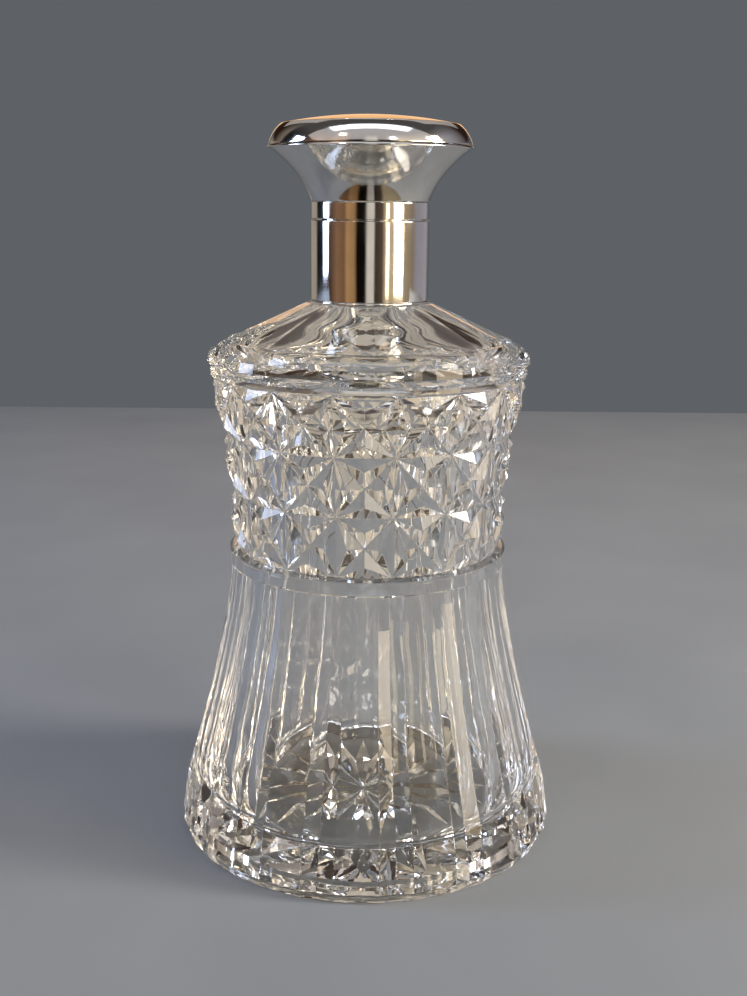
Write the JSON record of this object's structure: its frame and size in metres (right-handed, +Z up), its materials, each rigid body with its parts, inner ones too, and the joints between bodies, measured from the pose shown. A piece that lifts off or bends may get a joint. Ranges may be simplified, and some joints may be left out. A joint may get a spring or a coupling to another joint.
{
  "type": "perfume bottle",
  "caption": "Flared cut-crystal perfume bottle with fluted skirt, diamond-cut band, silver collar and hinged trumpet-shaped lid over a ground glass stopper.",
  "frame": {"origin": "centre of the foot's resting ring, on the surface that the bottle stands on", "axes": "+Z up along the bottle's axis, -Y the front, +Y the side of the lid's hinge"},
  "size_m": [0.0812, 0.0812, 0.15],
  "materials": {
    "crystal": "clear lead crystal, wheel-cut and polished",
    "silver": "polished sterling silver, lightly worn",
    "cement": "matt plaster cement"
  },
  "bodies": {
    "bottle": {"bottle_body": "crystal", "neck_cement": "cement", "collar_foot_bead": "silver", "collar_sleeve": "silver", "collar_bezel": "silver", "collar_knuckle_left": "silver", "collar_knuckle_right": "silver", "hinge_pin": "silver"},
    "lid": {"lid_knuckle": "silver", "lid_ring": "silver", "lid_trumpet": "silver", "lid_rim_moulding": "silver", "lid_top_plate": "silver"},
    "stopper": {"stopper": "crystal"}
  },
  "joints": [
    {"name": "lid_hinge", "type": "hinge", "parent": "bottle", "child": "lid", "pos_m": [0, 0.0133, 0.12975], "axis": [-1, 0, 0], "range_deg": [0, 110]},
    {"name": "stopper_lift", "type": "slide", "parent": "bottle", "child": "stopper", "axis": [0, 0, 1], "range_m": [0, 0.018]}
  ],
  "couplings": [
    {"joint": "stopper_lift", "follows": "lid_hinge", "m_per_rad": 0.009375}
  ]
}
